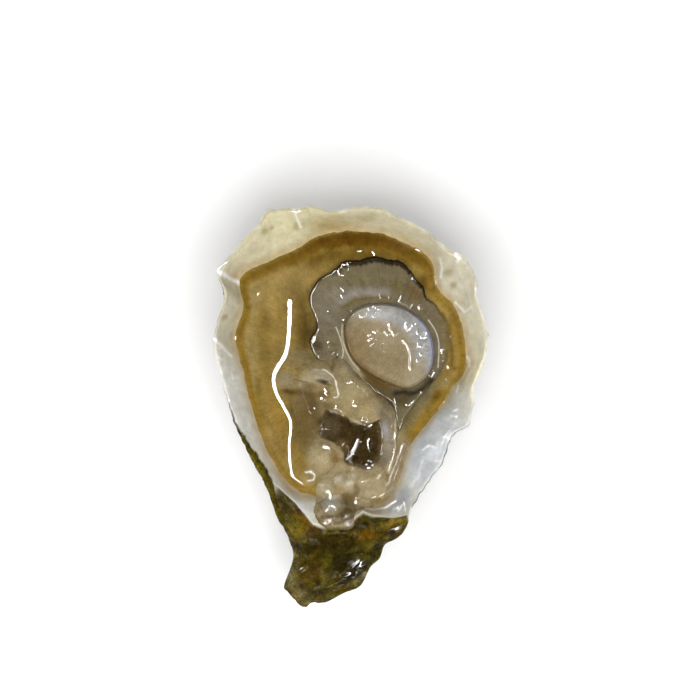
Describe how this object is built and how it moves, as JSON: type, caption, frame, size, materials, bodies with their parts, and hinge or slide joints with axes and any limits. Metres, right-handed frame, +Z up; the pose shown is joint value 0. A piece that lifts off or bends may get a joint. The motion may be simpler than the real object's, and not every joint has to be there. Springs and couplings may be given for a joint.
{
  "type": "oyster on the half shell",
  "caption": "Raw oyster lying in its cupped lower shell, with a rough leaning beak, a white lining and the whole soft body; food to be served on a plate.",
  "frame": {"origin": "on the table under the middle of the shell's bounding box", "axes": "+Y from the hinge to the wide edge, +X to the side that the muscle lies on, +Z up"},
  "size_m": [0.0686, 0.1004, 0.0268],
  "materials": {
    "shell": "smooth wet white lining, rough olive and brown outside",
    "ligament": "dark, rough",
    "mantle": "wet, golden brown",
    "gills": "wet, grey olive with a black fringe",
    "muscle": "wet, beige and bluish white",
    "body": "wet, cream",
    "gland": "wet, near black",
    "palps": "wet, cream"
  },
  "bodies": {
    "root": {"shell": "shell", "hinge_ligament": "ligament", "mantle": "mantle", "gills": "gills", "adductor_muscle": "muscle", "visceral_mass": "body", "digestive_gland": "gland", "palps": "palps"}
  },
  "joints": []
}
